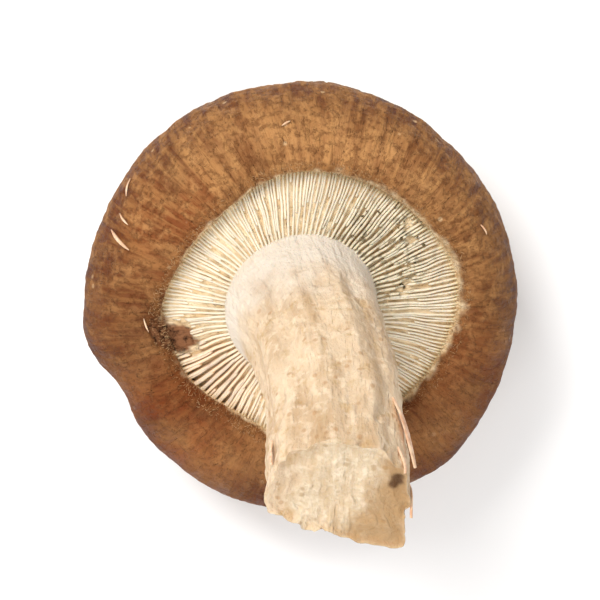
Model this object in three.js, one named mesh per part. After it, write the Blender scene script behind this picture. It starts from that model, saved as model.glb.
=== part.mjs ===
/*
 * A fresh shiitake mushroom, as picked: a thick cap with a rolled-in margin and a fissured crown, gills round
 * a stout bent stem, and the stem's cut end. It grew as one piece, so it is one closed solid.
 *
 * It lies on its crown with the gills up, and leans towards -Y, where its bent stem pulls it.
 * Millimetres, +Z up. The origin is on the surface it lies on, under the middle of its box.
 *
 * The shapes are drawn in the cap's own frame: origin at the centre of the widest level, +Z along the cap's
 * axis from the crown to the gills. The last section tilts that frame into its resting place.
 */
import * as THREE from "three";

// Cap
const capRadius = 29.7;
const crownDepth = 18.8; // widest level down to the crown
const crownSquareness = 2.12; // 2 is an ellipse, more is a fuller bun
const crownSkew = 0.21; // how much deeper the crown is towards the back, per mm
const marginHeight = 10; // widest level up to the top of the rolled margin
const marginWave = 0.7; // the margin's rise and fall
const lipWidth = 2.2; // top of the roll inwards to the edge round the gills
const lipDrop = 2.0; // top of the roll down to that edge

// The opening that the margin leaves round the gills
const openingRadius = 18.6;
const openingOffset = new THREE.Vector2(1, 0.1);

// Gills: long ones reach the stem, and a short one stands between each two of them
const longGills = 48;
const gillThickness = 0.66;
const gillWall = 0.1; // how far a gill's side leans out on its way down
const gillDepth = 1.9;
const gillFaceHeight = 7.6; // widest level up to the gills' free edges, at the lip
const gillBelly = 0.7; // how far the free edges bulge up between lip and stem
const gillRise = 2.2; // how far they run up onto the stem
const shortGillReach = 0.4; // share of the way out from the stem where a short gill ends
const gillStart = 0.985; // share of the way out where the gills come from under the lip

// Stem
const stemRootRadius = 10;
const stemWaistRadius = 8.6;
const stemFootRadius = 8.7; // at the cut end
const stemLength = 41; // along its middle line, from the gills to the cut
const stemLeanAzimuth = -75; // degrees from +X, the way it bends
const stemLeanStart = 9; // degrees off the cap's axis, where it leaves the gills
const stemLeanEnd = 46; // degrees off the cap's axis, at the cut
const stemSway = 2.1; // how far its middle line swings out to +X half way along
const stemRidges = 9;
const stemRidgeHeight = 0.25;
const footFlatness = 0.77; // how far the foot's far side reaches out, as a share of its radius
const footSquareness = 6; // of that side: 2 is an ellipse, more is squarer
const footSlope = 0.27; // how much further that side reaches to the right, mm per mm across
const cutSlant = 0.38; // mm of extra length per mm across, on the side at cutSlantAzimuth
const cutSlantAzimuth = -50;
const cutEdge = 0.4; // how far the cut's edge is worn back

// Fissures that divide the crown's skin into scales
const scaleRings = 5; // rings of scales round the one in the middle
const scaleSpacing = 5.7;
const scaleJitter = 2.5; // how far a scale's middle strays
const fissureWidth = 2.0;
const fissureDepth = 1.1; // at the crown
const fissureFade = 0.6; // share of that depth lost by the flank
const fissureFadeStart = 14;
const shortestEdge = 0.9; // corners of scales that are closer than this are one corner
const flankStart = 33; // distance from the crown's middle where the flank's rings begin
const fibrilHeight = 0.16; // the flank's radial grain

// Rest
const restLean = 15; // degrees that the cap's axis leans from the vertical, towards -Y
const capPlace = new THREE.Vector3(0.2, 3.3, 17.6); // the cap's centre, in the part's frame
const restSpot = new THREE.Vector2(0.3, -5.4); // middle of the flat spot it rests on, in the cap's plan
const restSpotRadius = 4.5; // no fissures within this distance of it
const restSpotFade = 2.5;

// How finely the rings are divided
const flankSteps = 6;
const marginSteps = 7;
const lipSteps = 2;
const gillSteps = 5;
const stemSteps = 10;
const rimPoints = 2 * longGills;
const stemPoints = 48;
const stemStart = 0.03; // share of the stem's length where it comes out of the gills

const { sin, cos, min, max, PI, abs, hypot, pow, atan2 } = Math;
const degrees = PI / 180;
const turn = 2 * PI;
const blend = (a, b, t) => a + (b - a) * t;
const smooth = (t) => {
  const s = min(1, max(0, t));
  return s * s * (3 - 2 * s);
};

// A repeatable number from 0 to 1 for each k.
const chance = (k) => {
  const x = sin(k * 12.9898 + 4.137) * 43758.5453;
  return x - Math.floor(x);
};

// A swelling or dent in an outline: rise in mm at one azimuth, dying away over spread degrees.
const swelling = (azimuth, { at, rise, spread }) => {
  const away = abs(((azimuth / degrees - at + 540) % 360) - 180) / spread;
  return rise * Math.exp(-away * away);
};
const swollen = (radius, marks) => (azimuth) =>
  marks.reduce((sum, mark) => sum + swelling(azimuth, mark), radius);

// The cap's outline at its widest level. It is flattened between 200 and 240 degrees.
const capOutline = swollen(capRadius, [
  { at: 45, rise: -0.4, spread: 25 },
  { at: 150, rise: -0.4, spread: 15 },
  { at: 190, rise: 0.7, spread: 10 },
  { at: 208, rise: -1.8, spread: 11 },
  { at: 230, rise: -0.9, spread: 16 },
  { at: 314, rise: 0.9, spread: 14 },
]);

// The opening's outline, about its own centre.
const openingOutline = swollen(openingRadius, [
  { at: 12, rise: 2.0, spread: 28 },
  { at: 135, rise: -1.2, spread: 22 },
  { at: 183, rise: 1.5, spread: 14 },
  { at: 207, rise: 0.8, spread: 12 },
  { at: 240, rise: -1.0, spread: 16 },
  { at: 300, rise: -1.1, spread: 18 },
]);

const openingPoint = (azimuth, share) => {
  const r = blend(stemRootRadius, openingOutline(azimuth), share);
  return new THREE.Vector2(r * cos(azimuth), r * sin(azimuth)).addScaledVector(openingOffset, share);
};

const marginTop = (azimuth) => marginHeight + marginWave * sin(3 * azimuth + 0.6);

// The crown's profile: angle 0 is its middle and 90 degrees is the widest level.
const crownProfile = (angle) => {
  const power = 2 / crownSquareness;
  return { out: pow(sin(angle), power), down: pow(cos(angle), power) };
};

// Steps along that profile, each with its distance from the crown's middle along the skin.
const crownWalk = (() => {
  const steps = 600;
  const walk = [{ angle: 0, distance: 0, out: 0, down: 1 }];
  for (let i = 1; i <= steps; i++) {
    const angle = (i / steps) * (PI / 2);
    const { out, down } = crownProfile(angle);
    const before = walk[i - 1];
    const step = hypot((out - before.out) * capRadius, (down - before.down) * crownDepth);
    walk.push({ angle, distance: before.distance + step, out, down });
  }
  return walk;
})();
const crownReach = crownWalk.at(-1).distance;

// A point of the crown, sunk mm below its skin.
function crownPoint(distance, azimuth, sunk) {
  const after = max(1, crownWalk.findIndex((step) => step.distance >= min(distance, crownReach)));
  const [a, b] = [crownWalk[after - 1], crownWalk[after]];
  const share = (min(distance, crownReach) - a.distance) / (b.distance - a.distance);
  const { out, down } = crownProfile(blend(a.angle, b.angle, share));
  const r = capOutline(azimuth) * out;
  const z = -crownDepth * down - crownSkew * r * sin(azimuth) * (1 - out * out);
  const point = new THREE.Vector3(r * cos(azimuth), r * sin(azimuth), z);
  const bare = smooth((hypot(point.x - restSpot.x, point.y - restSpot.y) - restSpotRadius) / restSpotFade);
  const inwards = new THREE.Vector3(-out * cos(azimuth), -out * sin(azimuth), down).normalize();
  return point.addScaledVector(inwards, sunk * bare);
}

// Middles of the scales in the flat skin. A last, even ring stands for the flank that the scales give way to.
const scaleMiddles = (() => {
  const middles = [];
  for (let ring = 0; ring <= scaleRings + 1; ring++) {
    const count = max(1, 6 * ring);
    for (let i = 0; i < count; i++) {
      const stray = ring > scaleRings ? 0 : scaleJitter;
      const azimuth = (turn * (i + 0.5 * (ring % 2))) / count;
      const k = 100 * ring + i;
      const x = ring * scaleSpacing * cos(azimuth) + stray * (chance(k) - 0.5);
      const y = ring * scaleSpacing * sin(azimuth) + stray * (chance(k + 0.5) - 0.5);
      middles.push({ x, y, isScale: ring <= scaleRings });
    }
  }
  return middles;
})();

// The outline of one scale: what is nearer to its middle than to any other.
function scaleOutline(middle) {
  const far = 3 * scaleSpacing;
  let outline = [[-far, -far], [far, -far], [far, far], [-far, far]].map(([x, y]) => ({
    x: middle.x + x,
    y: middle.y + y,
  }));
  for (const other of scaleMiddles) {
    const [dx, dy] = [other.x - middle.x, other.y - middle.y];
    if (other === middle || hypot(dx, dy) > 2 * far) continue;
    const beyond = (p) => (p.x - middle.x - dx / 2) * dx + (p.y - middle.y - dy / 2) * dy;
    outline = outline.flatMap((p, i) => {
      const next = outline[(i + 1) % outline.length];
      const [here, there] = [beyond(p), beyond(next)];
      const kept = here <= 0 ? [p] : [];
      if (here < 0 !== there < 0) {
        const t = here / (here - there);
        kept.push({ x: blend(p.x, next.x, t), y: blend(p.y, next.y, t) });
      }
      return kept;
    });
  }
  return outline;
}

const around = (count, point) =>
  Array.from({ length: count }, (_, i) => ({ at: i / count, point: point((turn * i) / count, i) }));

// Fine radial grain on the flank and margin.
const fibril = (azimuth) => {
  const fine = sin(41 * azimuth + 2 * sin(5 * azimuth));
  return fibrilHeight * (fine + 0.8 * sin(17 * azimuth + 1));
};

// Margin, from the widest level up and over to the top of the roll.
function marginPoint(share, azimuth) {
  const angle = share * (PI / 2);
  const edge = openingPoint(azimuth, 1);
  const top = edge.clone().setLength(edge.length() + lipWidth);
  const wide = new THREE.Vector2(cos(azimuth), sin(azimuth)).multiplyScalar(capOutline(azimuth));
  const at = top.lerp(wide, cos(angle));
  const grain = fibril(azimuth) * cos(angle);
  return new THREE.Vector3(at.x, at.y, marginTop(azimuth) * sin(angle)).add(
    new THREE.Vector3(cos(azimuth), sin(azimuth), 0.5).multiplyScalar(grain),
  );
}

// Lip, from the top of the roll in to the edge round the gills.
function lipPoint(share, azimuth) {
  const angle = share * (PI / 2);
  const edge = openingPoint(azimuth, 1);
  const at = edge.clone().setLength(edge.length() + lipWidth * (1 - sin(angle)));
  return new THREE.Vector3(at.x, at.y, marginTop(azimuth) - lipDrop * (1 - cos(angle)));
}

// Height of the gills' free edges: share 1 is at the lip and 0 at the stem.
const gillFace = (azimuth, share) =>
  gillFaceHeight +
  (marginTop(azimuth) - marginHeight) * share +
  gillBelly * sin(PI * share) +
  gillRise * pow(1 - share, 3);

// One ring across the gills, four points to a gill: its free edge, then the bed beside it.
function gillRing(share) {
  const pitch = turn / (2 * longGills);
  const ring = [];
  for (let i = 0; i < 2 * longGills; i++) {
    const long = i % 2 === 0;
    const middle = i * pitch;
    const r = openingPoint(middle, share).length();
    const edge = (gillThickness / 2 / r) * (long ? 1 : 0.95);
    const foot = edge + gillWall / r;
    const rooted = long ? 1 : smooth((share - shortGillReach) / 0.2 + 0.5);
    const sunk = gillDepth * smooth((share + 0.05) / 0.3);
    for (const [turned, depth] of [
      [-edge, 1 - rooted],
      [edge, 1 - rooted],
      [foot, 1],
      [pitch - foot, 1],
    ]) {
      const azimuth = middle + turned;
      const plan = openingPoint(azimuth, share);
      const height = gillFace(azimuth, share) - sunk * depth;
      ring.push({ at: azimuth / turn, point: new THREE.Vector3(plan.x, plan.y, height) });
    }
  }
  return ring;
}

// Stem: rings across a line that bends evenly from the cap's axis towards stemLeanAzimuth.
const lean = new THREE.Vector3(cos(stemLeanAzimuth * degrees), sin(stemLeanAzimuth * degrees), 0);
const leanAxis = new THREE.Vector3(0, 0, 1).cross(lean);

function stemMiddle(share) {
  const start = stemLeanStart * degrees;
  const bend = (stemLeanEnd - stemLeanStart) * degrees;
  const angle = start + bend * share;
  const scale = stemLength / bend;
  const middle = new THREE.Vector3(0, 0, gillFaceHeight + gillRise + scale * (sin(angle) - sin(start)));
  middle.addScaledVector(lean, scale * (cos(start) - cos(angle)));
  middle.x += stemSway * sin(PI * min(1, share));
  return { angle, middle };
}

const stemRadius = (share) => {
  const flare = (stemRootRadius - stemWaistRadius) * pow(1 - min(1, share / 0.5), 2.4);
  return stemWaistRadius + flare + (stemFootRadius - stemWaistRadius) * smooth((share - 0.45) / 0.55);
};

// The foot's section, for a radius of 1: round, but squarish on its far side, with a sloping flat edge.
function footSection(azimuth) {
  const [x, y] = [cos(azimuth), sin(azimuth)];
  if (y >= 0) return 1;
  const down = max(0, -y - footSlope * x) / footFlatness;
  return pow(pow(abs(x), footSquareness) + pow(down, footSquareness), -1 / footSquareness);
}

function stemPoint(share, azimuth, inset = 1) {
  const { angle, middle } = stemMiddle(share);
  const twist = 3 * share + 2 * sin(azimuth);
  const ridge = stemRidgeHeight * smooth(share / 0.2) * sin(stemRidges * azimuth + twist);
  const oval = 1 + 0.04 * cos(2 * (azimuth - 0.5));
  const section = blend(1, footSection(azimuth), smooth((share - 0.3) / 0.7));
  const r = (stemRadius(share) * oval + ridge) * section * inset;
  const slant = cutSlant * cos(azimuth - cutSlantAzimuth * degrees) * r * share * share;
  const out = new THREE.Vector3(r * cos(azimuth), r * sin(azimuth), slant);
  return out.applyAxisAngle(leanAxis, angle).add(middle);
}

// Points and faces of the solid's skin, which is one closed surface that faces out.
const points = [];
const faces = [];
const addPoint = (point) => points.push(point) - 1;
const addRing = (ring) => ring.map(({ at, point }) => ({ at, index: addPoint(point) }));

// Joins two rings with triangles. The second is further along the skin, from the crown to the stem's end.
function join(first, second) {
  const at = (ring, i) => ring[i % ring.length].at + Math.floor(i / ring.length);
  const index = (ring, i) => ring[i % ring.length].index;
  let i = 0;
  let j = 0;
  while (i < first.length || j < second.length) {
    const firstMoves = at(first, i + 1) + at(first, i) < at(second, j + 1) + at(second, j);
    if (j === second.length || (i < first.length && firstMoves)) {
      faces.push(index(first, i), index(first, i + 1), index(second, j));
      i += 1;
    } else {
      faces.push(index(first, i), index(second, j + 1), index(second, j));
      j += 1;
    }
  }
}

// Crown: each scale is a raised plate. Its sides slope down to corners that it shares with its neighbours.
// Gives the ring of corners at the border.
function addScales() {
  const corners = [];
  const cornerAt = ({ x, y }) => {
    const known = corners.find((corner) => hypot(corner.x - x, corner.y - y) < shortestEdge);
    if (known) return known;
    const azimuth = atan2(y, x);
    const outwards = (hypot(x, y) - fissureFadeStart) / (flankStart - fissureFadeStart);
    const faded = 1 - fissureFade * smooth(outwards);
    const sunk = fissureDepth * faded * blend(0.7, 1, chance(x + 3 * y));
    const index = addPoint(crownPoint(hypot(x, y), azimuth, sunk));
    corners.push({ x, y, index, at: (azimuth / turn + 1) % 1 });
    return corners.at(-1);
  };
  const edges = new Set();
  for (const middle of scaleMiddles.filter(({ isScale }) => isScale)) {
    const outline = [...new Set(scaleOutline(middle).map(cornerAt))];
    const plate = outline.map(({ x, y }) => {
      const inwards = fissureWidth / 2 / hypot(middle.x - x, middle.y - y);
      const [px, py] = [blend(x, middle.x, inwards), blend(y, middle.y, inwards)];
      return addPoint(crownPoint(hypot(px, py), atan2(py, px), 0));
    });
    const top = addPoint(crownPoint(hypot(middle.x, middle.y), atan2(middle.y, middle.x), 0));
    outline.forEach((corner, i) => {
      const j = (i + 1) % outline.length;
      const next = outline[j];
      faces.push(top, plate[j], plate[i]);
      faces.push(plate[i], plate[j], next.index, plate[i], next.index, corner.index);
      edges.add(`${corner.index} ${next.index}`);
    });
  }
  const onBorder = (corner) =>
    corners.some(({ index }) => {
      const [out, back] = [`${corner.index} ${index}`, `${index} ${corner.index}`];
      return edges.has(out) && !edges.has(back);
    });
  return corners.filter(onBorder).sort((a, b) => a.at - b.at);
}

function mushroomSkin() {
  let last = addScales();
  const add = (ring) => {
    const next = addRing(ring);
    join(last, next);
    last = next;
  };
  for (let i = 0; i <= flankSteps; i++) {
    const distance = blend(flankStart, crownReach, i / flankSteps);
    const grain = smooth(i / flankSteps);
    add(around(rimPoints, (azimuth) => crownPoint(distance, azimuth, -fibril(azimuth) * grain)));
  }
  for (let i = 1; i <= marginSteps; i++) {
    add(around(rimPoints, (azimuth) => marginPoint(i / marginSteps, azimuth)));
  }
  for (let i = 1; i <= lipSteps; i++) {
    add(around(rimPoints, (azimuth) => lipPoint(i / lipSteps, azimuth)));
  }
  for (let i = 0; i <= gillSteps; i++) add(gillRing(gillStart * (1 - i / gillSteps)));
  for (let i = 0; i <= stemSteps; i++) {
    const share = blend(stemStart, 1, i / stemSteps);
    add(around(stemPoints, (azimuth) => stemPoint(share, azimuth)));
  }
  const cut = 1 + cutEdge / stemLength;
  add(around(stemPoints, (azimuth) => stemPoint(cut, azimuth, 1 - cutEdge / stemFootRadius)));
  add(around(stemPoints / 2, (azimuth) => stemPoint(cut, azimuth, 0.5)));
  const tip = addPoint(stemPoint(cut, 0, 0));
  last.forEach(({ index }, i) => faces.push(index, last[(i + 1) % last.length].index, tip));
  const skin = new THREE.BufferGeometry();
  skin.setAttribute("position", new THREE.Float32BufferAttribute(points.flatMap((p) => p.toArray()), 3));
  skin.setIndex(faces);
  return skin;
}

// Lays the cap's frame in its resting place and presses the crown flat on the surface.
function laidDown(skin) {
  skin.rotateX(restLean * degrees);
  skin.translate(capPlace.x, capPlace.y, capPlace.z);
  const position = skin.getAttribute("position");
  for (let i = 0; i < position.count; i++) position.setZ(i, max(0, position.getZ(i)));
  skin.computeVertexNormals();
  return skin;
}

const skinBrown = new THREE.MeshStandardMaterial({ color: 0x9a6a44, roughness: 0.8, metalness: 0 });
const shiitake = new THREE.Mesh(laidDown(mushroomSkin()), skinBrown);
shiitake.name = "shiitake";

const part = new THREE.Group();
part.add(shiitake);
export default part;
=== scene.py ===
# A fresh shiitake mushroom, lying on its fissured crown with its gills up.
# The camera looks down on it, a little off the cap's axis, so that the stem comes towards it.
import math

import bmesh
import bpy
import numpy as np
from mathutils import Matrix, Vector


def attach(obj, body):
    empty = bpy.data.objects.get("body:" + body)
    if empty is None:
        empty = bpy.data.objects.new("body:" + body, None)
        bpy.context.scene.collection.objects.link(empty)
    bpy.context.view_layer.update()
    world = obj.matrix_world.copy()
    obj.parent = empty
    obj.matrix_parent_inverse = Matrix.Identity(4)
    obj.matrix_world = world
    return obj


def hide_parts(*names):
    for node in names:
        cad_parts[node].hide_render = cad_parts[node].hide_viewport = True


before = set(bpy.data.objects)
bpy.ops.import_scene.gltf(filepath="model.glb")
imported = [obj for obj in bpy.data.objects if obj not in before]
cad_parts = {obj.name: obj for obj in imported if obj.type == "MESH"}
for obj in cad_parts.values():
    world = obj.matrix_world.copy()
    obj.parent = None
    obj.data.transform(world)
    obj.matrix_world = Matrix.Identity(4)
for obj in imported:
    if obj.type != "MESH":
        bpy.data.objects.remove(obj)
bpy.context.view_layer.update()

MM = 0.001
TURN = 2 * math.pi

# The mushroom's driving dimensions, in mm, as in the part's own source.
CAP_RADIUS = 29.7
CROWN_DEPTH = 18.8
CROWN_SQUARENESS = 2.12
CROWN_SKEW = 0.21
MARGIN_HEIGHT = 10
MARGIN_WAVE = 0.7
LIP_WIDTH = 2.2
LIP_DROP = 2.0
OPENING_RADIUS = 18.6
OPENING_OFFSET = (1, 0.1)
GILL_FACE_HEIGHT = 7.6
GILL_BELLY = 0.7
GILL_RISE = 2.2
STEM_ROOT_RADIUS = 10
STEM_WAIST_RADIUS = 8.6
STEM_FOOT_RADIUS = 8.7
STEM_LENGTH = 41
STEM_LEAN_AZIMUTH = math.radians(-75)
STEM_LEAN_START = math.radians(9)
STEM_LEAN_END = math.radians(46)
STEM_SWAY = 2.1
STEM_RIDGES = 9
STEM_RIDGE_HEIGHT = 0.25
FOOT_FLATNESS = 0.77
FOOT_SQUARENESS = 6
FOOT_SLOPE = 0.27
CUT_SLANT = 0.38
CUT_SLANT_AZIMUTH = math.radians(-50)
SCALE_RINGS = 5
SCALE_SPACING = 5.7
SCALE_JITTER = 2.5
FISSURE_DEPTH = 1.1
FISSURE_FADE = 0.6
FISSURE_FADE_START = 14
FLANK_START = 33
REST_LEAN = math.radians(15)
CAP_PLACE = np.array([0.2, 3.3, 17.6])
REST_SPOT = np.array([0.3, -5.4])
REST_SPOT_RADIUS = 4.5

# What only the finished surface has, in mm, the stem's start as a share of its length.
GILLS = 232
GILL_THICKNESS = 0.4
GILL_DEPTH = 3.2
BED_DEPTH = 0.4
OPEN_BED_DEPTH = 1.5
TORN_SPOT = (-17.2, -4.0)
BRUISE_AT = (10.5, 7.5)
BRUISE_RADIUS = 10.5
SLITS_AT = (-12.0, -10.5)
SLITS_RADIUS = 8.0
STEM_START = -0.16
CRACK_SPACING = 2.3
FLANK_CRACKS = 88

# How fine the meshes are: points round a ring, millimetres between the crown's rings, and numbers of rings.
RIM_POINTS = 600
CROWN_STEP = 0.36
MARGIN_RINGS = 45
LIP_RINGS = 11
BED_RINGS = 16
STEM_POINTS = 300
STEM_ROWS = 150
CUT_RINGS = 34
PROFILE_STEPS = 600
WOOL_POINTS = 240
CRUMB_POINTS = 20
GILL_STEPS = 40
SLIVER_STEPS = 12

# What the sockets of a node tree can hold.
NUMBER, VECTOR, WHOLE, MESH = "Float", "Vector", "Int", "Geometry"

# More cells than any pattern here has, so that it does not repeat.
NO_REPEAT = 1 << 20


def smooth(t):
    t = np.clip(t, 0, 1)
    return t * t * (3 - 2 * t)


def blend(a, b, t):
    return a + (b - a) * t


def chance(k):
    """A repeatable number from 0 to 1 for each k, the same as in the part's source."""
    x = np.sin(k * 12.9898 + 4.137) * 43758.5453
    return x - np.floor(x)


def lattice_value(cell, seed):
    """A repeatable number from -1 to 1 for each whole-numbered point of space."""
    x, y, z = np.moveaxis(cell, -1, 0)
    scrambled = (x * 73856093) ^ (y * 19349663) ^ (z * 83492791) ^ (seed * 26544357)
    scrambled = ((scrambled ^ (scrambled >> 13)) & 0x3FFFFFFF) * 127412617
    return ((scrambled >> 7) & 0xFFFF) / 32767.5 - 1


def lumps(points, size, seed, octaves=1):
    """Smooth random values, about -1 to 1, in lumps of a size. Each octave adds lumps half as large."""
    total, weight = 0, 0
    for octave in range(octaves):
        place = points / (size / 2**octave) + 31.7 * (seed + octave)
        cell = np.floor(place).astype(np.int64)
        t = smooth(place - cell)
        value = 0
        for corner in np.ndindex(2, 2, 2):
            pull = np.prod([t[..., k] if corner[k] else 1 - t[..., k] for k in range(3)], axis=0)
            value = value + pull * lattice_value(cell + np.array(corner), seed)
        total = total + value / 2**octave
        weight += 1 / 2**octave
    return total / weight


def streaks(skin, width, length, seed, octaves=1):
    """Lumps drawn out along the skin, which has its length last."""
    return lumps(skin * [1 / width, 1 / width, 1 / length], 1, seed, octaves)


def swollen(level, marks):
    """A level all round, with swellings and dents, each (azimuth in degrees, rise, spread in degrees)."""

    def outline(azimuth):
        total = np.full(np.shape(azimuth), float(level))
        for at, rise, spread in marks:
            away = np.abs((np.degrees(azimuth) - at + 540) % 360 - 180) / spread
            total += rise * np.exp(-(away**2))
        return total

    return outline


cap_outline = swollen(
    CAP_RADIUS,
    [(45, -0.4, 25), (150, -0.4, 15), (190, 0.7, 10), (208, -1.8, 11), (230, -0.9, 16), (314, 0.9, 14)],
)
opening_outline = swollen(
    OPENING_RADIUS,
    [(12, 2.0, 28), (135, -1.2, 22), (183, 1.5, 14), (207, 0.8, 12), (240, -1.0, 16), (300, -1.1, 18)],
)
# Painted light on the margin, by azimuth: lighter at some azimuths, most on its far side, towards the key
# light.
margin_painted_light = swollen(0.16, [(80, 0.62, 42), (352, 0.1, 24), (242, 0.18, 15), (182, 0.08, 12)])


def stack(x, y, z):
    return np.stack(np.broadcast_arrays(x, y, z), axis=-1).astype(float)


def polar(radius, azimuth):
    return radius * np.cos(azimuth), radius * np.sin(azimuth)


def all_round(count):
    return np.arange(count) / count * TURN


def opening_plan(azimuth, share):
    """Plan place on the gills: share 0 is at the stem's root and 1 at the lip."""
    x, y = polar(blend(STEM_ROOT_RADIUS, opening_outline(azimuth), share), azimuth)
    return x + OPENING_OFFSET[0] * share, y + OPENING_OFFSET[1] * share


def margin_top(azimuth):
    return MARGIN_HEIGHT + MARGIN_WAVE * np.sin(3 * azimuth + 0.6)


def gill_face(azimuth, share):
    """Height of the gills' free edges."""
    rise = GILL_RISE * np.clip(1 - share, 0, 2) ** 3
    wave = (margin_top(azimuth) - MARGIN_HEIGHT) * share
    return GILL_FACE_HEIGHT + wave + GILL_BELLY * np.sin(math.pi * np.clip(share, 0, 1)) + rise


def near(points, place, radius):
    """1 at a place in the cap's plan, and 0 beyond a radius."""
    away = np.hypot(points[..., 0] - place[0], points[..., 1] - place[1])
    return smooth(1.5 - 1.5 * away / radius)


def gills_apart(points):
    """Where the gaps between gills are open and deep: 1 in the bruised patch and among the slits."""
    return np.maximum(0.4 * near(points, BRUISE_AT, BRUISE_RADIUS), near(points, SLITS_AT, SLITS_RADIUS))


def bell(x, y):
    """1 at the middle, and falling off smoothly beyond a distance of about 1."""
    return np.exp(-(x**2) - y**2)


def torn_spot(points):
    """The dark torn patch at the gills' left end."""
    x, y = points[..., 0] - TORN_SPOT[0], points[..., 1] - TORN_SPOT[1]
    spot = bell(x / 3.3, (y + 0.3 * x) / 2.4)
    return smooth((spot * (1.7 + 1.5 * lumps(points, 1.2, 43, 3)) - 0.5) / 0.4)


# The crown's profile, walked from its middle to the widest level.
walk_angle = np.linspace(0, math.pi / 2, PROFILE_STEPS + 1)
walk_out = np.sin(walk_angle) ** (2 / CROWN_SQUARENESS)
walk_down = np.cos(walk_angle) ** (2 / CROWN_SQUARENESS)
walk_steps = np.hypot(np.diff(walk_out) * CAP_RADIUS, np.diff(walk_down) * CROWN_DEPTH)
walk_distance = np.concatenate([[0], np.cumsum(walk_steps)])
CROWN_REACH = walk_distance[-1]


def crown_point(distance, azimuth):
    angle = np.interp(distance, walk_distance, walk_angle)
    out = np.sin(angle) ** (2 / CROWN_SQUARENESS)
    down = np.abs(np.cos(angle)) ** (2 / CROWN_SQUARENESS)
    r = cap_outline(azimuth) * out
    z = -CROWN_DEPTH * down - CROWN_SKEW * r * np.sin(azimuth) * (1 - out**2)
    return stack(*polar(r, azimuth), z)


def rim_plan(azimuth, out):
    """Plan place out mm beyond the edge of the opening."""
    x, y = opening_plan(azimuth, 1)
    grow = 1 + out / np.hypot(x, y)
    return x * grow, y * grow


def margin_point(share, azimuth):
    angle = share * math.pi / 2
    x, y = rim_plan(azimuth, LIP_WIDTH)
    wide_x, wide_y = polar(cap_outline(azimuth), azimuth)
    x = blend(x, wide_x, np.cos(angle))
    y = blend(y, wide_y, np.cos(angle))
    return stack(x, y, margin_top(azimuth) * np.sin(angle))


def lip_point(share, azimuth):
    """From the top of the roll in to the edge round the gills, and past share 1 down to their bed."""
    angle = np.clip(share, 0, 1) * math.pi / 2
    x, y = rim_plan(azimuth, LIP_WIDTH * (1 - np.sin(angle)))
    z = margin_top(azimuth) - LIP_DROP * (1 - np.cos(angle)) - BED_DEPTH * np.clip(share - 1, 0, 1)
    return stack(x, y, z)


def bed_point(share, azimuth):
    """The flesh that the gills stand in."""
    x, y = opening_plan(azimuth, share)
    place = stack(x, y, gill_face(azimuth, share))
    place[..., 2] -= blend(BED_DEPTH, OPEN_BED_DEPTH, gills_apart(place))
    return place


lean = np.array([math.cos(STEM_LEAN_AZIMUTH), math.sin(STEM_LEAN_AZIMUTH), 0])
lean_axis = np.cross([0, 0, 1], lean)


def stem_radius(share):
    flare = (STEM_ROOT_RADIUS - STEM_WAIST_RADIUS) * (1 - np.minimum(1, share / 0.5)) ** 2.4
    foot = (STEM_FOOT_RADIUS - STEM_WAIST_RADIUS) * smooth((share - 0.45) / 0.55)
    return STEM_WAIST_RADIUS + flare + foot


def foot_section(azimuth):
    """The foot's section, for a radius of 1: round, but squarish on its far side, with a sloping edge."""
    x, y = np.cos(azimuth), np.sin(azimuth)
    down = np.maximum(0, -y - FOOT_SLOPE * x) / FOOT_FLATNESS
    squarish = (np.abs(x) ** FOOT_SQUARENESS + down**FOOT_SQUARENESS) ** (-1 / FOOT_SQUARENESS)
    return np.where(y < 0, squarish, 1)


def stem_point(share, azimuth, inset=1.0, proud=0.0):
    """Share 0 is at the gills and 1 at the cut. Proud is how far the point stands out from the surface."""
    share, azimuth = np.broadcast_arrays(share, azimuth)
    bend = STEM_LEAN_END - STEM_LEAN_START
    angle = (STEM_LEAN_START + bend * share)[..., None]
    scale = STEM_LENGTH / bend
    middle = lean * scale * (math.cos(STEM_LEAN_START) - np.cos(angle))
    middle[..., 2] += GILL_FACE_HEIGHT + GILL_RISE
    middle[..., 2] += scale * (np.sin(angle[..., 0]) - math.sin(STEM_LEAN_START))
    middle[..., 0] += STEM_SWAY * np.sin(math.pi * np.clip(share, 0, 1))
    twist = 3 * share + 2 * np.sin(azimuth)
    ridge = STEM_RIDGE_HEIGHT * smooth(share / 0.2) * np.sin(STEM_RIDGES * azimuth + twist)
    oval = 1 + 0.04 * np.cos(2 * (azimuth - 0.5))
    section = blend(1, foot_section(azimuth), smooth((share - 0.3) / 0.7))
    r = (stem_radius(share) * oval + ridge) * section * inset + proud
    slant = CUT_SLANT * np.cos(azimuth - CUT_SLANT_AZIMUTH) * r * np.maximum(share, 0) ** 2
    out = stack(*polar(r, azimuth), slant)
    along = (out @ lean_axis)[..., None] * lean_axis * (1 - np.cos(angle))
    return out * np.cos(angle) + np.cross(lean_axis, out) * np.sin(angle) + along + middle


def laid_down(points):
    """From the cap's own frame, in mm, to the mushroom's resting place, in metres."""
    x, y, z = np.moveaxis(points, -1, 0)
    cos, sin = math.cos(REST_LEAN), math.sin(REST_LEAN)
    placed = stack(x, y * cos - z * sin, y * sin + z * cos) + CAP_PLACE
    placed[..., 2] = np.maximum(placed[..., 2], 0)
    return placed * MM


def normals_of(grid):
    """Outward directions of a grid of rings that run from the crown to the stem's end."""
    down_rows = np.gradient(grid, axis=0)
    round_ring = np.roll(grid, -1, axis=1) - np.roll(grid, 1, axis=1)
    across = np.cross(round_ring, down_rows)
    return across / np.maximum(np.linalg.norm(across, axis=-1, keepdims=True), 1e-9)


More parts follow.
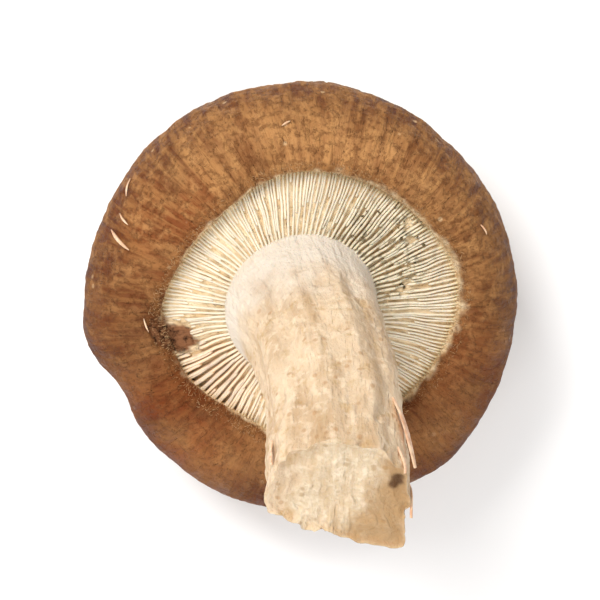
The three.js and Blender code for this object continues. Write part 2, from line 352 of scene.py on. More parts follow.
def scale_middles():
    """Middles of the crown's scales in the skin laid flat, as in the part's source."""
    middles = []
    for ring in range(SCALE_RINGS + 2):
        count = max(1, 6 * ring)
        stray = 0 if ring > SCALE_RINGS else SCALE_JITTER
        for i in range(count):
            azimuth = TURN * (i + 0.5 * (ring % 2)) / count
            k = 100 * ring + i
            x = ring * SCALE_SPACING * math.cos(azimuth) + stray * (chance(k) - 0.5)
            y = ring * SCALE_SPACING * math.sin(azimuth) + stray * (chance(k + 0.5) - 0.5)
            middles.append((x, y))
    return np.array(middles)


def cracks(flat, middles):
    """For places in the flat skin: distance to the nearest line between cells, and each cell's number."""
    edge = np.empty(flat.shape[:-1])
    cell = np.empty(flat.shape[:-1], dtype=int)
    for row in range(len(flat)):
        away = np.linalg.norm(flat[row][:, None, :] - middles[None], axis=-1)
        order = np.argsort(away, axis=1)[:, :2]
        first, second = np.take_along_axis(away, order, axis=1).T
        gap = np.linalg.norm(middles[order[:, 0]] - middles[order[:, 1]], axis=-1)
        edge[row] = (second**2 - first**2) / (2 * gap)
        cell[row] = order[:, 0]
    return edge, cell


def crazed(place, around, seed):
    """Distance to the nearest line between strewn cells of about size 1, which repeat after around cells."""
    cell = np.floor(place).astype(np.int64)
    nearest = np.full(place.shape[:-1], 9.0)
    second = np.full(place.shape[:-1], 9.0)
    for dx in (-1, 0, 1):
        for dy in (-1, 0, 1):
            home = cell + [dx, dy]
            index = np.stack([home[..., 0] % around, home[..., 1], 0 * home[..., 0]], axis=-1)
            stray = np.stack([lattice_value(index, seed), lattice_value(index, seed + 1)], axis=-1)
            middle = home + 0.5 + 0.4 * stray
            away = np.linalg.norm(place - middle, axis=-1)
            second = np.minimum(second, np.maximum(nearest, away))
            nearest = np.minimum(nearest, away)
    return second - nearest


def add_object(name, data):
    """Puts a mesh, a light or a camera into the scene."""
    made = bpy.data.objects.new(name, data)
    bpy.context.scene.collection.objects.link(made)
    return made


def set_values(mesh, attributes):
    """Stores a number or a place for each point, for the materials to read."""
    for key, values in attributes.items():
        values = np.asarray(values, dtype=np.float32)
        kind, slot = ("FLOAT_VECTOR", "vector") if values.ndim == 2 else ("FLOAT", "value")
        mesh.attributes.new(key, kind, "POINT").data.foreach_set(slot, values.ravel())


def new_mesh(name, points, faces):
    mesh = bpy.data.meshes.new(name)
    mesh.from_pydata(points, [], faces)
    return mesh


def smooth_piece(name, mesh):
    mesh.polygons.foreach_set("use_smooth", [True] * len(mesh.polygons))
    mesh.update()
    return add_object(name, mesh)


def make_piece(name, points, faces, attributes, material):
    mesh = new_mesh(name, points.tolist(), faces)
    set_values(mesh, attributes)
    mesh.materials.append(material)
    return smooth_piece(name, mesh)


def ring_faces(widths, stride):
    """Faces between rings of a grid. Widths gives each ring's step through the columns, 1, 2 or 4."""
    faces = []
    for row in range(len(widths) - 1):
        here, there = widths[row], widths[row + 1]
        a, b = row * stride, (row + 1) * stride
        for i in range(0, stride, here):
            j, k = (i + here) % stride, (i + there) % stride
            if here == there:
                faces.append((a + i, a + j, b + j, b + i))
            else:
                faces += [(a + i, b + k, b + i), (a + i, a + j, b + k), (a + j, b + j, b + k)]
    return faces


def tube_faces(steps, count):
    """Faces of a closed tube: count points in each section, and steps between its sections."""
    faces = []
    for i in range(steps):
        for k in range(count):
            a, b = i * count + k, i * count + (k + 1) % count
            faces.append((a, b, b + count, a + count))
    faces.append(tuple(reversed(range(count))))
    faces.append(tuple(steps * count + k for k in range(count)))
    return faces


def used_only(points, faces, attributes):
    """Drops the points that no face uses."""
    used = np.unique(np.concatenate([np.array(face) for face in faces]))
    place = np.zeros(len(points), dtype=int)
    place[used] = np.arange(len(used))
    faces = [tuple(int(place[i]) for i in face) for face in faces]
    return points[used], faces, {key: values[used] for key, values in attributes.items()}


def closed_piece(name, grid, ends, widths, values, material):
    """A piece from rings of points, closed at both ends by a fan of faces. Widths are as in ring_faces."""
    rows, stride = grid.shape[:2]
    faces = ring_faces(widths, stride)
    tip, last = rows * stride, (rows - 1) * stride
    faces += [(tip, (i + widths[0]) % stride, i) for i in range(0, stride, widths[0])]
    faces += [(tip + 1, last + i, last + (i + widths[-1]) % stride) for i in range(0, stride, widths[-1])]
    points = laid_down(np.concatenate([grid.reshape(-1, 3), ends]))
    attributes = {}
    for key, value in values.items():
        flat = value.reshape(rows * stride, -1)
        attributes[key] = np.concatenate([flat, flat[:1], flat[last : last + 1]]).squeeze()
    return make_piece(name, *used_only(points, faces, attributes), material)


# Node trees


def srgb(red, green, blue):
    """A colour as a screen shows it, 0 to 255, for a shader socket."""
    scaled = [value / 255 for value in (red, green, blue)]
    return [v / 12.92 if v <= 0.04045 else ((v + 0.055) / 1.055) ** 2.4 for v in scaled] + [1]


def is_socket(value):
    return isinstance(value, bpy.types.NodeSocket)


def tree_of(*values):
    """The node tree of the first socket among some values."""
    return next(value.id_data for value in values if is_socket(value))


def feed(socket, value):
    """Links another node's socket to a socket, or sets its value."""
    if is_socket(value):
        socket.id_data.links.new(value, socket)
    else:
        socket.default_value = value


def add_node(tree, kind, settings=None, **inputs):
    """Adds a node. Its inputs go by their name, or by an underscore and their number."""
    node = tree.nodes.new(kind)
    for key, value in (settings or {}).items():
        setattr(node, key, value)
    for key, value in inputs.items():
        socket = node.inputs[int(key[1:])] if key[0] == "_" else node.inputs[key.replace("_", " ")]
        feed(socket, value)
    return node


def mixed(amount, first, second):
    settings = {"data_type": "RGBA"}
    return add_node(tree_of(amount), "ShaderNodeMix", settings, _0=amount, _6=first, _7=second).outputs[2]


def counted(operation, *values):
    """A number worked out by one operation, such as ADD."""
    node = add_node(tree_of(*values), "ShaderNodeMath", {"operation": operation})
    for socket, value in zip(node.inputs, values):
        feed(socket, value)
    return node.outputs[0]


def times(first, second):
    return counted("MULTIPLY", first, second)


def layered(colour, *layers):
    """Colours laid over a first one, each (mask, how much of it, red, green, blue)."""
    for mask, most, *over in layers:
        colour = mixed(times(mask, most), colour, srgb(*over))
    return colour


def between(value, low, high):
    """0 below low, 1 above high and smooth between."""
    limits = {"Value": value, "From Min": low, "From Max": high}
    settings = {"interpolation_type": "SMOOTHSTEP"}
    return add_node(tree_of(value), "ShaderNodeMapRange", settings, **limits).outputs[0]


def factors(tree, *names):
    """The values that a piece's points hold."""
    return [add_node(tree, "ShaderNodeAttribute", {"attribute_name": name}).outputs["Fac"] for name in names]


def skin_place(tree):
    """The place in the skin, in mm."""
    return add_node(tree, "ShaderNodeAttribute", {"attribute_name": "skin"}).outputs["Vector"]


def space_place(tree):
    """The place in space, in metres."""
    return add_node(tree, "ShaderNodeTexCoord").outputs["Object"]


def xyz(x, y, z):
    return add_node(tree_of(x, y, z), "ShaderNodeCombineXYZ", X=x, Y=y, Z=z).outputs[0]


def new_tree(kind, name, inputs, outputs):
    """A node tree, the sockets of what it is given and gives back, and its inputs' identifiers."""
    tree = bpy.data.node_groups.new(name, kind + "NodeTree")
    identifiers = {}
    for key, holds in inputs.items():
        socket = tree.interface.new_socket(key, in_out="INPUT", socket_type="NodeSocket" + holds)
        identifiers[key] = socket.identifier
    for key, holds in outputs.items():
        tree.interface.new_socket(key, in_out="OUTPUT", socket_type="NodeSocket" + holds)
    given, result = tree.nodes.new("NodeGroupInput").outputs, tree.nodes.new("NodeGroupOutput").inputs
    return tree, given, result, identifiers


def mottle_group():
    """Blotches at one size with finer ones in them."""
    inputs = {"Place": VECTOR, "Size mm": NUMBER, "Softness": NUMBER, "Share": NUMBER}
    tree, given, result, _ = new_tree("Shader", "mottle", inputs, {"Mask": NUMBER})
    scale = counted("DIVIDE", 1000.0, given["Size mm"])
    settings = {"Vector": given["Place"], "Scale": scale, "Detail": 5.0, "Roughness": 0.62}
    noise = add_node(tree, "ShaderNodeTexNoise", **settings)
    level = counted("SUBTRACT", 1.0, given["Share"])
    low = counted("SUBTRACT", level, given["Softness"])
    high = counted("ADD", level, given["Softness"])
    feed(result["Mask"], between(noise.outputs["Fac"], low, high))
    return tree


def fibre_group():
    """Fine fibres that run along the last axis of the place, which is in mm."""
    inputs = {"Place": VECTOR, "Width mm": NUMBER, "Length mm": NUMBER}
    tree, given, result, _ = new_tree("Shader", "fibres", inputs, {"Mask": NUMBER, "Height": NUMBER})
    across = counted("DIVIDE", 1.0, given["Width mm"])
    along = counted("DIVIDE", 1.0, given["Length mm"])
    stretch = {"_0": given["Place"], "_1": xyz(across, across, along)}
    drawn = add_node(tree, "ShaderNodeVectorMath", {"operation": "MULTIPLY"}, **stretch)
    settings = {"Vector": drawn.outputs[0], "Scale": 0.5, "Detail": 4.0, "Roughness": 0.55, "Distortion": 0.4}
    noise = add_node(tree, "ShaderNodeTexNoise", **settings)
    feed(result["Mask"], between(noise.outputs["Fac"], 0.36, 0.64))
    feed(result["Height"], noise.outputs["Fac"])
    return tree


def speck_group():
    """Small separate specks, some of them missing."""
    inputs = {"Place": VECTOR, "Spacing mm": NUMBER, "Radius": NUMBER, "Share": NUMBER}
    tree, given, result, _ = new_tree("Shader", "specks", inputs, {"Mask": NUMBER})
    scale = counted("DIVIDE", 1000.0, given["Spacing mm"])
    cells = add_node(tree, "ShaderNodeTexVoronoi", Vector=given["Place"], Scale=scale, Randomness=1.0)
    inner = times(given["Radius"], 0.45)
    spot = counted("SUBTRACT", 1.0, between(cells.outputs["Distance"], inner, given["Radius"]))
    pick = add_node(tree, "ShaderNodeSeparateColor", Color=cells.outputs["Color"]).outputs[0]
    kept = counted("LESS_THAN", pick, given["Share"])
    feed(result["Mask"], times(spot, kept))
    return tree


MOTTLE = mottle_group()
FIBRES = fibre_group()
SPECKS = speck_group()


def placed_group(group, **inputs):
    return add_node(tree_of(*inputs.values()), "ShaderNodeGroup", {"node_tree": group}, **inputs).outputs


def mottled(place, size, softness, share=0.5):
    return placed_group(MOTTLE, Place=place, Size_mm=size, Softness=softness, Share=share)["Mask"]


def fibrous(skin, width, length):
    return placed_group(FIBRES, Place=skin, Width_mm=width, Length_mm=length)


def speckled(place, spacing, radius, share):
    return placed_group(SPECKS, Place=place, Spacing_mm=spacing, Radius=radius, Share=share)["Mask"]


def new_material(name, roughness, subsurface=0.0, radius_mm=1.5):
    material = bpy.data.materials.new(name)
    material.use_nodes = True
    shader = material.node_tree.nodes["Principled BSDF"]
    values = {"Roughness": roughness, "Specular IOR Level": 0.35, "Subsurface Weight": subsurface}
    values.update({"Subsurface Radius": (1.0, 0.55, 0.3), "Subsurface Scale": radius_mm * MM})
    for key, value in values.items():
        shader.inputs[key].default_value = value
    return material, material.node_tree, shader


def finished(material, colour, *bumps):
    """A material with its colour and its bumps, each (height, depth in mm), one over the other."""
    tree = material.node_tree
    shader = tree.nodes["Principled BSDF"]
    feed(shader.inputs["Base Color"], colour)
    under = shader.inputs["Normal"]
    for height, depth in reversed(bumps):
        bump = add_node(tree, "ShaderNodeBump", Height=height, Strength=1.0, Distance=depth * MM)
        feed(under, bump.outputs[0])
        under = bump.inputs["Normal"]
    return material


def cap_skin_material():
    """Brown felted skin, cream flesh in the fissures and on the edge round the gills."""
    material, tree, shader = new_material("cap_skin", 0.62, subsurface=0.05, radius_mm=1.0)
    shader.inputs["Specular IOR Level"].default_value = 0.1
    place, skin = space_place(tree), skin_place(tree)
    tone, red, fissure, damage, felted = factors(tree, "tone", "red", "fissure", "damage", "felted")
    broad = mottled(place, 4.5, 0.1)
    middle = mottled(place, 2.0, 0.09, 0.45)
    fine = mottled(place, 0.8, 0.1, 0.42)
    felt = fibrous(skin, 0.55, 2.8)
    coarse = fibrous(skin, 1.2, 4.2)
    pale = speckled(place, 2.6, 0.17, 0.3)
    # Dark to golden brown by the tone attribute, which holds painted light and shade on the margin as well as
    # the skin's own tone.
    brown = layered(
        mixed(tone, srgb(76, 32, 8), srgb(192, 140, 88)),
        (red, 0.6, 126, 60, 22),
        (broad, 0.38, 106, 54, 20),
        (times(middle, felted), 0.4, 192, 142, 90),
        (times(coarse["Mask"], felted), 0.32, 96, 50, 20),
        (times(felt["Mask"], felted), 0.34, 200, 148, 92),
        (times(fine, felted), 0.45, 92, 50, 22),
        (times(pale, felted), 0.5, 226, 190, 146),
    )
    flesh = mixed(fibrous(skin, 0.9, 1.3)["Mask"], srgb(206, 176, 134), srgb(234, 214, 180))
    colour = mixed(fissure, brown, flesh)
    colour = mixed(damage, colour, mixed(fine, srgb(128, 86, 58), srgb(62, 38, 24)))
    rough = add_node(tree, "ShaderNodeMapRange", Value=felt["Mask"], To_Min=0.5, To_Max=0.75)
    feed(shader.inputs["Roughness"], rough.outputs[0])
    bumps = (coarse["Height"], 0.7), (felt["Height"], 0.5), (fine, 0.12), (middle, 0.12)
    return finished(material, colour, *bumps)


def gill_material():
    """Ivory gills, tanner at the lip, with painted shade deep between them and grey-green flecks where
    bruised.
    """
    material, tree, _ = new_material("gill_flesh", 0.62, subsurface=0.25, radius_mm=1.5)
    place = space_place(tree)
    depth, share, bruise, pink, damage = factors(tree, "depth", "share", "bruise", "pink", "damage")
    fine = mottled(place, 0.8, 0.15)
    flecks = speckled(place, 1.2, 0.38, 0.4)
    smudges = mottled(place, 0.95, 0.06, 0.43)
    scraps = mottled(place, 1.1, 0.08)
    ivory = layered(
        mixed(mottled(place, 5.0, 0.16), srgb(216, 200, 178), srgb(236, 222, 200)),
        (fine, 0.25, 226, 210, 182),
        (between(share, 0.88, 1.0), 0.6, 226, 202, 150),
        (pink, 0.7, 234, 202, 170),
        # Painted shade: darker towards the bottom of each blade, deep between the gills.
        (between(depth, 0.1, 0.8), 0.35, 210, 188, 156),
        (bruise, 0.25, 206, 194, 150),
        (times(smudges, bruise), 0.8, 110, 102, 76),
        (times(flecks, bruise), 0.8, 92, 86, 62),
    )
    ivory = mixed(damage, ivory, mixed(scraps, srgb(140, 104, 78), srgb(52, 36, 26)))
    return finished(material, ivory, (fine, 0.06))


def stem_material():
    """Cream fibrous stem with ochre patches, and the paler, spongier flesh of its cut end."""
    material, tree, _ = new_material("stem_flesh", 0.7, subsurface=0.12, radius_mm=1.2)
    place, skin = space_place(tree), skin_place(tree)
    cut, ochre, root, damage = factors(tree, "cut", "ochre", "root", "damage")
    fibres = fibrous(skin, 0.5, 3.0)
    coarse = fibrous(skin, 1.8, 5.0)
    pores = mottled(place, 0.7, 0.16)
    spots = speckled(place, 1.5, 0.34, 0.4)
    cream = layered(
        mixed(coarse["Mask"], srgb(194, 164, 130), srgb(220, 194, 162)),
        (mottled(place, 2.4, 0.07, 0.42), 0.65, 186, 152, 104),
        (mottled(place, 1.7, 0.07, 0.42), 0.5, 236, 216, 188),
        (fibres["Mask"], 0.3, 226, 206, 178),
        (spots, 0.5, 172, 126, 80),
        (root, 1.0, 232, 222, 208),
    )
    face = layered(
        mixed(pores, srgb(210, 188, 156), srgb(226, 208, 182)),
        (fibrous(skin, 0.9, 4.0)["Mask"], 0.55, 190, 158, 118),
        (spots, 0.45, 150, 112, 66),
    )
    colour = mixed(cut, cream, face)
    colour = layered(colour, (ochre, 1.0, 160, 120, 70), (damage, 1.0, 92, 60, 28))
    return finished(material, colour, (fibres["Height"], 0.5), (coarse["Height"], 0.8), (pores, 0.1))


def two_toned(name, roughness, size, softness, dark, light, *bump_depths, **flesh):
    """A material with blotches of two colours, which may also stand out."""
    material, tree, _ = new_material(name, roughness, **flesh)
    patches = mottled(space_place(tree), size, softness)
    colour = mixed(patches, srgb(*dark), srgb(*light))
    return finished(material, colour, *[(patches, depth) for depth in bump_depths])


def torn_skin_material():
    """Slivers of torn, dried skin: pinkish cream."""
    tones = (204, 156, 122), (232, 198, 166)
    return two_toned("torn_skin", 0.6, 1.6, 0.14, *tones, 0.08, subsurface=0.15, radius_mm=0.8)


def wool_material():
    """The margin's woolly fringe, cream to tan."""
    return two_toned("margin_wool", 0.8, 2.5, 0.2, (142, 96, 56), (208, 172, 126))


def crumb_material():
    """Crumbs of dark growing wood."""
    return two_toned("crumbs", 0.85, 0.5, 0.2, (58, 46, 28), (118, 104, 70))


# Cap


def crown_relief(distance, azimuth, base):
    """The crown's relief in mm, how much of each place is bare flesh, and how dark its skin is."""
    flat = np.stack(polar(distance, azimuth), axis=-1)
    ragged = np.stack([lumps(base, 2.2, 3, 4), lumps(base, 2.2, 7, 4)], axis=-1)
    edge, cell = cracks(flat + 0.95 * ragged, scale_middles())
    outwards = smooth((distance - FISSURE_FADE_START) / (FLANK_START - FISSURE_FADE_START))
    width = blend(1.15, 0.6, outwards) * (1 + 0.75 * lumps(base, 6, 11, 2))
    beyond = smooth((distance - FLANK_START + 5) / 7 + 0.6 * lumps(base, 4, 19, 3))
    fissure = (1 - smooth(edge / width)) * (1 - beyond)

    inner = crazed((flat + 0.7 * ragged) / CRACK_SPACING, NO_REPEAT, 111)
    drawn = np.stack([azimuth / TURN * FLANK_CRACKS + 0 * distance, distance / 2.9], axis=-1) + 0.28 * ragged
    outer = crazed(drawn, FLANK_CRACKS, 113)
    small = blend(inner, outer, smooth((distance - 13) / 4))
    worn = smooth(0.62 + 1.1 * lumps(base, 5, 117, 3))
    fade = 1 - smooth((distance - FLANK_START) / 6 + 0.8 * lumps(base, 3, 119, 3))
    reach = smooth((distance - 9) / 8) * fade
    crack = (1 - smooth(small / 0.24)) * worn * (0.35 + 0.65 * reach) * fade

    spot = np.hypot(base[..., 0] - REST_SPOT[0], base[..., 1] - REST_SPOT[1])
    bare = smooth((spot - REST_SPOT_RADIUS) / 2.5)
    height = -FISSURE_DEPTH * (1 - FISSURE_FADE * outwards) * fissure * (0.35 + 0.65 * bare)
    curl = bell((edge - 1.35 * width) / 0.6, 0) * (1 - beyond)
    height += 0.18 * curl + 0.2 * (chance(cell * 7.3) - 0.5) * (1 - fissure) * (1 - beyond)
    height -= 0.34 * crack * (1 - fissure)
    flesh = np.clip(np.maximum(fissure, 0.85 * crack), 0, 1)
    dark = 0.5 * curl + 0.45 * (chance(cell * 3.7 + 1) - 0.5) * (1 - beyond)
    return height, flesh, beyond, dark


def cap_tone_and_painted_light(points, azimuth, first_margin):
    """How light the skin is. On the margin this is painted light and shade: darkest on the flank, where the
    cap turns away from the light, and golden at the top of the margin's far side, towards the key light.
    """
    up = np.clip(points[..., 2] / MARGIN_HEIGHT, -1, 1)
    # Painted shade and light: the margin is darkest down at the flank and lighter towards its top.
    margin = smooth(np.abs(up) ** 1.5) * margin_painted_light(azimuth)[None] + 0.02
    crown = 0.22 + 0.3 * smooth(-points[..., 2] / CROWN_DEPTH)
    steps = np.arange(len(points))[:, None] - first_margin
    return blend(crown, margin, smooth((steps + 12) / 24))


def cap_piece(material):
    """The cap: crown, rolled margin, lip, and the bed that the gills stand in, as one closed skin."""
    azimuth = all_round(RIM_POINTS)
    crown_rows = np.arange(1, int(CROWN_REACH / CROWN_STEP) + 1) * CROWN_STEP
    margin_rows = np.linspace(0, 1, MARGIN_RINGS + 1)[1:]
    lip_rows = np.concatenate([np.linspace(0, 1, LIP_RINGS + 1)[1:], [1.3, 1.6, 2.0]])
    bed_rows = np.linspace(0.97, 0, BED_RINGS)
    crown = crown_point(crown_rows[:, None], azimuth)
    margin = margin_point(margin_rows[:, None], azimuth)
    lip = lip_point(lip_rows[:, None], azimuth)
    bed = bed_point(bed_rows[:, None], azimuth)
    base = np.concatenate([crown, margin, lip, bed])
    rows = len(base)
    first_margin, first_lip, first_bed = len(crown), len(crown) + len(margin), rows - len(bed)

    steps = np.linalg.norm(np.diff(base, axis=0, prepend=base[:1]), axis=-1).mean(axis=1)
    reach = np.cumsum(steps)[:, None] * np.ones_like(azimuth)
    skin = stack(*polar(CAP_RADIUS, azimuth), reach)

    distance = crown_rows[:, None] * np.ones_like(azimuth)
    height, bare = np.zeros((2, rows, RIM_POINTS))
    flank = np.ones((rows, RIM_POINTS))
    relief, fissure, beyond, dark = crown_relief(distance, azimuth, crown)
    height[:first_margin], bare[:first_margin], flank[:first_margin] = relief, fissure, beyond

    fibres = streaks(skin, 0.5, 5, 23, 2)
    felt = lumps(base, 1.3, 29, 3)
    swells = lumps(base, 7, 31, 2)
    outside = np.ones(rows)[:, None]
    outside[first_bed - 3 :] = 0
    felted = 0.25 + 0.75 * smooth(0.45 + 0.75 * np.sin(azimuth + 0.1))[None] + 0 * base[..., 2]
    wrinkles = streaks(skin, 2.6, 7, 25, 2)
    height += outside * flank * (0.3 * swells + 0.16 * wrinkles + 0.2 * felt * felted)
    height += 0.07 * fibres * outside

    # The skin's tone: painted light and shade on the margin, plus random lumps and darker crown cells of the
    # skin's own colour.
    tone = cap_tone_and_painted_light(base, azimuth, first_margin) + 0.32 * lumps(base, 6.5, 37, 3)
    tone[:first_margin] -= 0.6 * dark
    red = near(base, (-17, 11), 11) + 0.8 * near(base, (-17, -16), 12) + 0.5 * near(base, (22, -8), 9)
    red = red * smooth(0.7 + 1.2 * lumps(base, 4, 39, 2)) * (base[..., 2] > 0)
    to_lip = (np.arange(rows) - first_lip)[:, None] / LIP_RINGS
    pale_side = 0.08 + 0.2 * np.cos(azimuth - 0.7)[None]
    bare = np.maximum(bare, smooth((to_lip - 0.55 + pale_side + 0.4 * lumps(base, 1.6, 41, 3)) / 0.45))
    damage = torn_spot(base) * (base[..., 2] > 4)
    height -= 0.9 * damage * outside

    # The small rings in the crown's middle use every fourth or second point, and the bed's every second.
    widths = [4 if d < 7 else 2 if d < 14 else 1 for d in crown_rows] + [1] * (first_bed - first_margin)
    widths += [2] * len(bed)
    ends = [[0, 0, -CROWN_DEPTH], [0, 0, GILL_FACE_HEIGHT - BED_DEPTH]]
    values = {"fissure": bare, "tone": np.clip(tone, 0, 1), "damage": damage, "red": np.clip(red, 0, 1)}
    values["felted"] = np.maximum(felted, 0.9 * (base[..., 2] < -3))
    values["skin"] = skin
    return closed_piece("cap", base + normals_of(base) * height[..., None], ends, widths, values, material)


# Gills


def blade_mesh():
    """One gill before it is bent: x is across it, y from its inner to its outer end, z up, in mm."""
    half = GILL_THICKNESS / 2
    left = [(-half, -1), (-half, -0.45), (-0.75 * half, -0.08)]
    section = left + [(0, 0)] + [(-x, z) for x, z in reversed(left)]
    points = [(x, i / GILL_STEPS, z * GILL_DEPTH) for i in range(GILL_STEPS + 1) for x, z in section]
    return new_mesh("gill_blade", points, tube_faces(GILL_STEPS, len(section)))


def finish_copies(tree, result, copies, material):
    """Ends a tree with its copies as one plain mesh in their material."""
    made = add_node(tree, "GeometryNodeRealizeInstances", Geometry=copies).outputs[0]
    made = add_node(tree, "GeometryNodeSetMaterial", Geometry=made, Material=material).outputs[0]
    feed(result[0], made)


def gill_fan_tree():
    """Copies of one gill, each with its place round the stem and its inner end as attributes."""
    inputs = {"Geometry": MESH, "Gills": WHOLE, "Early end": NUMBER, "Late end": NUMBER}
    inputs.update({"Stray": NUMBER, "Seed": WHOLE, "Material": "Material"})
    tree, given, result, identifiers = new_tree("Geometry", "gill_fan", inputs, {"Geometry": MESH})
    points = add_node(tree, "GeometryNodePoints", Count=given["Gills"]).outputs[0]
    index = tree.nodes.new("GeometryNodeInputIndex").outputs[0]
    quarter = counted("MODULO", index, 4.0)
    random = add_node(tree, "FunctionNodeRandomValue", {"data_type": "FLOAT"}, ID=index, Seed=given["Seed"])
    stray = counted("SUBTRACT", random.outputs[1], 0.5)
    shift = times(stray, given["Stray"])
    early, late = (
        times(counted("COMPARE", quarter, which, 0.5), counted("ADD", given[end], shift))
        for which, end in ((1.0, "Early end"), (3.0, "Late end"))
    )
    inner = counted("ADD", early, late)
    at = counted("DIVIDE", counted("ADD", index, shift), given["Gills"])
    start = xyz(0.0, inner, 0.0)
    points = add_node(tree, "GeometryNodeSetPosition", Geometry=points, Position=start).outputs[0]
    settings = {"data_type": "FLOAT", "domain": "POINT"}
    for key, value in (("gill_at", at), ("gill_inner", inner)):
        stored = {"Geometry": points, "Name": key, "Value": value}
        points = add_node(tree, "GeometryNodeStoreNamedAttribute", settings, **stored).outputs[0]
    placed = {"Points": points, "Instance": given["Geometry"]}
    placed["Scale"] = xyz(1.0, counted("SUBTRACT", 1.0, inner), 1.0)
    copies = add_node(tree, "GeometryNodeInstanceOnPoints", **placed).outputs[0]
    finish_copies(tree, result, copies, given["Material"])
    return tree, identifiers


def grown_mesh(name, mesh, tree, identifiers, values):
    """Runs a geometry nodes tree on a mesh and gives the result as a plain mesh."""
    holder = add_object(name, mesh)
    modifier = holder.modifiers.new(name, "NODES")
    modifier.node_group = tree
    for key, value in values.items():
        modifier[identifiers[key]] = value
    bpy.context.view_layer.update()
    made = bpy.data.meshes.new_from_object(holder.evaluated_get(bpy.context.evaluated_depsgraph_get()))
    bpy.data.objects.remove(holder)
    return made


def mesh_points(mesh):
    points = np.empty(3 * len(mesh.vertices))
    mesh.vertices.foreach_get("co", points)
    return points.reshape(-1, 3)


def mesh_values(mesh, name):
    values = np.empty(len(mesh.vertices))
    mesh.attributes[name].data.foreach_get("value", values)
    return values


def gills_piece(material):
    """The fan of gills, bent into the opening: crowded, wavy, ragged along their free edges."""
    fan = {"Gills": GILLS, "Early end": 0.3, "Late end": 0.58, "Stray": 0.36, "Seed": 4, "Material": material}
    mesh = grown_mesh("gills", blade_mesh(), *gill_fan_tree(), fan)
    x, y, z = mesh_points(mesh).T
    at, inner = mesh_values(mesh, "gill_at"), mesh_values(mesh, "gill_inner")
    share = blend(-0.12, 1.03, y)
    plan_x, plan_y = opening_plan(at * TURN, share)
    r = np.hypot(plan_x, plan_y)
    place = stack(plan_x, plan_y, 0)
    apart = gills_apart(place)
    ripple = lumps(place, 4.5, 51, 2)
    own = lumps(stack(at * GILLS * 3.1, r * 0.35, 0), 1, 53)
    paired = near(place, SLITS_AT, 1.4 * SLITS_RADIUS) * (0.5 - np.round(at * GILLS) % 2) * 0.24
    azimuth = at * TURN + (x * (1 + 0.2 * apart) + 0.4 * ripple + 0.14 * own + paired) / r
    plan_x, plan_y = opening_plan(azimuth, share)
    place = stack(plan_x, plan_y, 0)
    depth = -z / GILL_DEPTH
    short = (inner > 0.05) * (1 - smooth((y - inner) / 0.1))
    teeth = 0.1 * lumps(stack(at * GILLS * 5.3, r / 0.5, 0), 1, 57, 2)
    tall = 0.2 * lumps(stack(at * GILLS * 7.7, r / 5, 0), 1, 58)
    bruise = near(place, BRUISE_AT, BRUISE_RADIUS) * smooth(0.8 + 0.8 * lumps(place, 3, 59, 2))
    damage = torn_spot(place)
    bites = smooth((lumps(place, 1.1, 61, 2) - 0.3) / 0.15) * bruise
    top = 0.25 * lumps(place, 5, 63, 2) + teeth + tall - 1.1 * bites - 1.2 * damage - 2.8 * short
    height = gill_face(azimuth, share) + z + top * (1 - depth)
    points = laid_down(stack(plan_x, plan_y, height))
    pink = near(place, (-13.5, -12), 12)
    mesh.vertices.foreach_set("co", points.ravel())
    set_values(mesh, {"depth": depth, "share": share, "bruise": bruise, "damage": damage, "pink": pink})
    for key in ("gill_at", "gill_inner"):
        mesh.attributes.remove(mesh.attributes[key])
    return smooth_piece("gills", mesh)


# Stem


